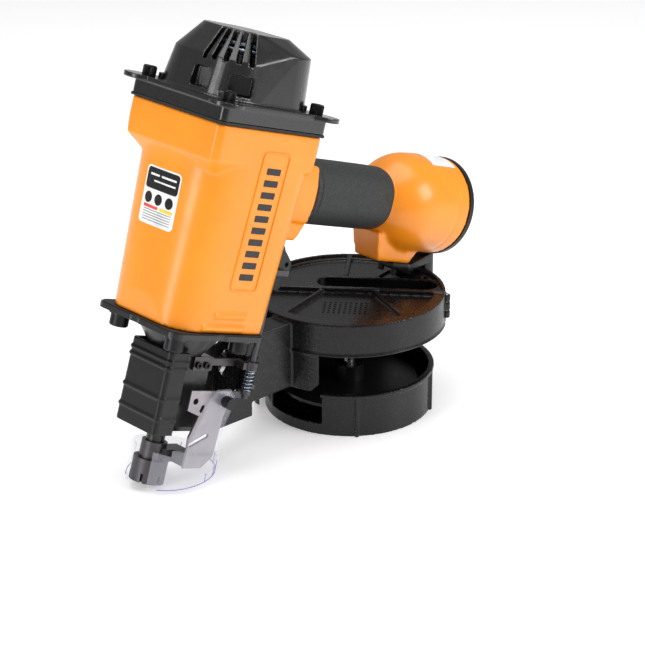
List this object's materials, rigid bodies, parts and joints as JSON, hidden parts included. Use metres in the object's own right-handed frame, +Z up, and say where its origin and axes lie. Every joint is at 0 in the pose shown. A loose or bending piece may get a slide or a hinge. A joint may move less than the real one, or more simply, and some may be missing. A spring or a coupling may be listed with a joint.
{
  "type": "pneumatic coil nail gun",
  "caption": "Pneumatic coil nail gun with an orange housing, black cap, rubber grip, round magazine and clear debris shield.",
  "frame": {"origin": "middle of the footprint, on the surface the tool stands on", "axes": "+Z up, +X from the nose back to the air inlet, +Y to the tool's right; the drive axis leans back 18.1 degrees from +Z"},
  "size_m": [0.3283, 0.1537, 0.3303],
  "materials": {
    "housing_paint": "semi-gloss orange-yellow coating on a light-alloy casting",
    "cap_black": "glossy black coating on a light-alloy casting",
    "nose_black": "black coated casting",
    "plastic_black": "satin black moulded nylon with a fine grain",
    "grip_rubber": "matt black rubber with a fine leather grain",
    "trigger_plastic": "matt dark grey-green plastic",
    "seal_rubber": "black nitrile",
    "bolt_steel": "black oxide steel",
    "dark_steel": "dark heat-treated steel",
    "bright_steel": "bright ground steel",
    "cast_alloy": "machined light alloy",
    "spring_steel": "spring steel wire",
    "clear_shield": "clear polycarbonate",
    "label_white": "printed vinyl label",
    "decal_black": "printed black stripes"
  },
  "bodies": {
    "tool": {"body_casting": "housing_paint", "cylinder_cap": "cap_black", "cap_gasket": "seal_rubber", "cap_bolts": "bolt_steel", "cylinder_sleeve": "cast_alloy", "sleeve_seals": "seal_rubber", "bumper": "seal_rubber", "head_valve_spring": "spring_steel", "handle_grip": "grip_rubber", "end_cap": "plastic_black", "end_cap_seal": "seal_rubber", "end_cap_screws": "bolt_steel", "inlet_bushing": "bright_steel", "trigger_pin": "bright_steel", "trigger_valve_body": "plastic_black", "trigger_valve_spring": "spring_steel", "nose_casting": "nose_black", "drive_guide": "nose_black", "nose_gasket": "seal_rubber", "nose_bolts": "bolt_steel", "nose_guard": "plastic_black", "trip_spring": "spring_steel", "trip_guide": "dark_steel", "trip_guide_screws": "bolt_steel", "feed_cylinder": "nose_black", "feed_screws": "bolt_steel", "feed_cylinder_cap": "cast_alloy", "feed_spring": "spring_steel", "magazine_housing": "plastic_black", "magazine_tub": "plastic_black", "tub_screws": "bolt_steel", "magazine_hinge_pin": "bright_steel", "magazine_bracket": "plastic_black", "bracket_screws": "bolt_steel", "platform_post": "bright_steel", "data_label": "label_white", "side_decal": "decal_black", "chamber_label": "label_white"},
    "drive_piston": {"piston": "cast_alloy", "piston_ring": "seal_rubber", "driver_blade": "bright_steel"},
    "head_valve": {"head_valve": "plastic_black", "head_valve_seal": "seal_rubber"},
    "trigger": {"trigger": "trigger_plastic"},
    "valve_stem": {"trigger_valve_stem": "bright_steel"},
    "contact_trip": {"contact_foot": "dark_steel", "trip_plate": "dark_steel", "trip_rod": "dark_steel", "shield_knob": "plastic_black", "debris_shield": "clear_shield"},
    "feed_piston": {"feed_piston": "cast_alloy", "pawl_pin": "bright_steel"},
    "feed_pawl": {"feed_pawl": "dark_steel"},
    "magazine_cover": {"magazine_cover": "plastic_black", "latch_spring": "spring_steel"},
    "cover_latch": {"cover_latch": "dark_steel"},
    "nail_platform": {"nail_platform": "plastic_black"}
  },
  "joints": [
    {"name": "piston_slide", "type": "slide", "parent": "tool", "child": "drive_piston", "axis": [-0.3107, 0, -0.9505], "range_m": [0, 0.1]},
    {"name": "head_valve_slide", "type": "slide", "parent": "tool", "child": "head_valve", "axis": [0.3107, 0, 0.9505], "range_m": [0, 0.006], "stiffness_N_per_m": 2000, "springref_m": -0.01, "deforming": ["head_valve_spring"]},
    {"name": "trigger_hinge", "type": "hinge", "parent": "tool", "child": "trigger", "pos_m": [-0.03487, -0.0047, 0.16861], "axis": [0, -1, 0], "range_deg": [0, 12], "stiffness_Nm_per_rad": 0.8, "springref_deg": -14.32},
    {"name": "valve_stem_slide", "type": "slide", "parent": "tool", "child": "valve_stem", "axis": [0.3107, 0, 0.9505], "range_m": [0, 0.003], "deforming": ["trigger_valve_spring"]},
    {"name": "trip_slide", "type": "slide", "parent": "tool", "child": "contact_trip", "axis": [0.3107, 0, 0.9505], "range_m": [0, 0.01], "stiffness_N_per_m": 1500, "springref_m": -0.015, "deforming": ["trip_spring"]},
    {"name": "feed_slide", "type": "slide", "parent": "tool", "child": "feed_piston", "axis": [0.9505, 0, -0.3107], "range_m": [0, 0.01], "stiffness_N_per_m": 800, "springref_m": -0.01, "deforming": ["feed_spring"]},
    {"name": "pawl_hinge", "type": "hinge", "parent": "feed_piston", "child": "feed_pawl", "pos_m": [-0.11388, 0.0208, 0.07976], "axis": [0.3107, 0, 0.9505], "range_deg": [-25, 0], "stiffness_Nm_per_rad": 0.05, "springref_deg": 11.46},
    {"name": "cover_hinge", "type": "hinge", "parent": "tool", "child": "magazine_cover", "pos_m": [0.10713, -0.05787, 0.083], "axis": [0, 0, 1], "range_deg": [0, 100]},
    {"name": "latch_slide", "type": "slide", "parent": "magazine_cover", "child": "cover_latch", "axis": [0.3107, 0, 0.9505], "range_m": [0, 0.005], "stiffness_N_per_m": 500, "springref_m": -0.01, "deforming": ["latch_spring"]},
    {"name": "platform_slide", "type": "slide", "parent": "tool", "child": "nail_platform", "axis": [0, 0, 1], "range_m": [-0.01, 0.02]}
  ],
  "couplings": [
    {"joint": "valve_stem_slide", "follows": "trigger_hinge", "m_per_rad": 0.0143}
  ]
}
